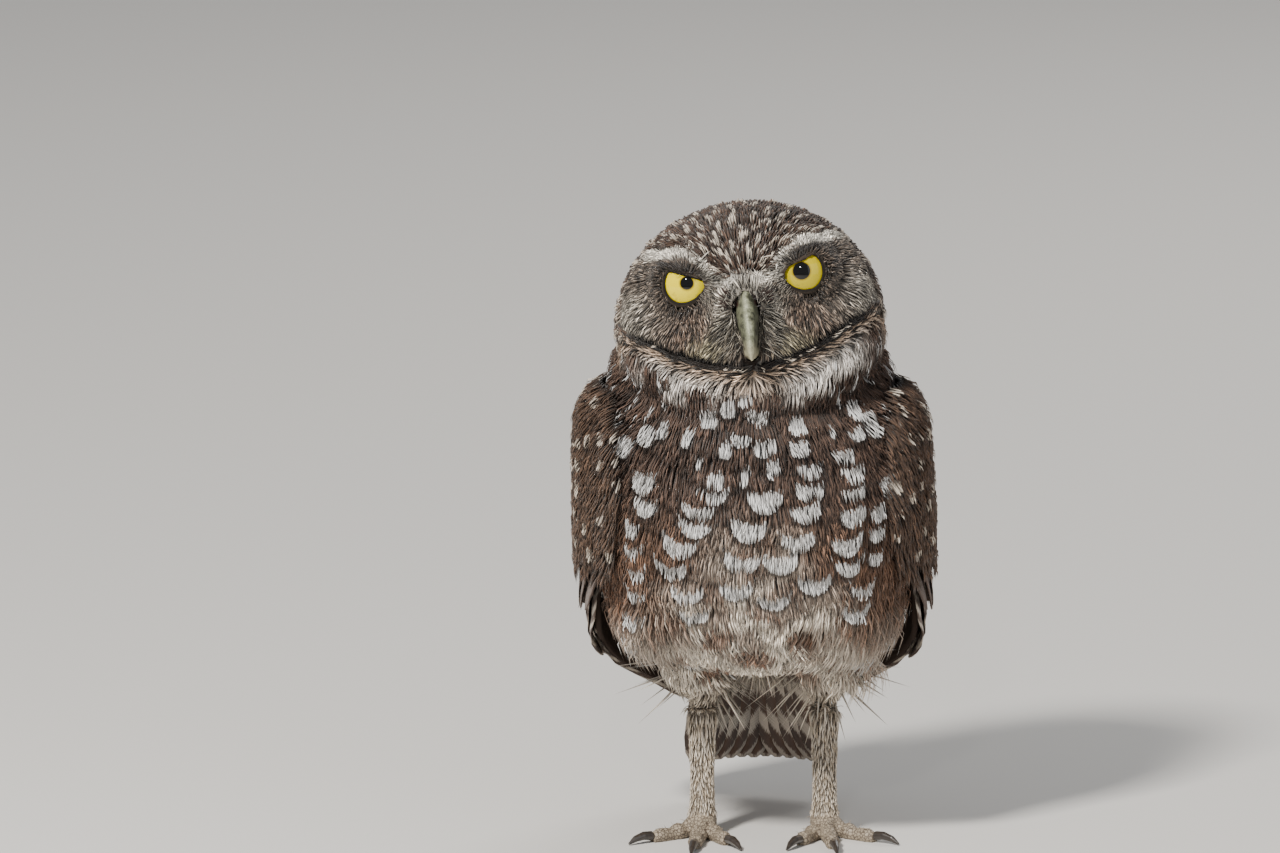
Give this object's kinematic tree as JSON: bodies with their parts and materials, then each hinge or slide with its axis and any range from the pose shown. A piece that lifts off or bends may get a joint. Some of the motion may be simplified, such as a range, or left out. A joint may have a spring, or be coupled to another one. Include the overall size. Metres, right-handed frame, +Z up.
{
  "type": "burrowing owl model",
  "caption": "Still, life-size burrowing owl standing upright on long legs, head square to the front with a low frown, wings and tail closed.",
  "frame": {"origin": "on the floor, under the middle of the whole bird", "axes": "+Z up; the bird faces -Y and its own left side is at +X"},
  "size_m": [0.0952, 0.1204, 0.1699],
  "materials": {
    "plumage": "soft brown body plumage with white spots and bars",
    "flight_feathers": "firm brown wing and tail feathers with pale spots and bars",
    "leg_feathers": "short whitish feathering on thighs and shanks",
    "foot_skin": "scaly grey-brown skin",
    "claw": "dark horn",
    "bill": "pale grey-green horn",
    "eye": "wet, bright yellow iris round a black pupil"
  },
  "bodies": {
    "root": {"head": "plumage", "neck": "plumage", "torso": "plumage", "tail": "flight_feathers", "wing_left": "flight_feathers", "thigh_left": "leg_feathers", "tarsus_left": "leg_feathers", "foot_left": "foot_skin", "claw_left_inner": "claw", "claw_left_middle": "claw", "claw_left_outer": "claw", "claw_left_hind": "claw", "eye_left": "eye", "wing_right": "flight_feathers", "thigh_right": "leg_feathers", "tarsus_right": "leg_feathers", "foot_right": "foot_skin", "claw_right_inner": "claw", "claw_right_middle": "claw", "claw_right_outer": "claw", "claw_right_hind": "claw", "eye_right": "eye", "bill_upper": "bill", "bill_lower": "bill"}
  },
  "joints": []
}
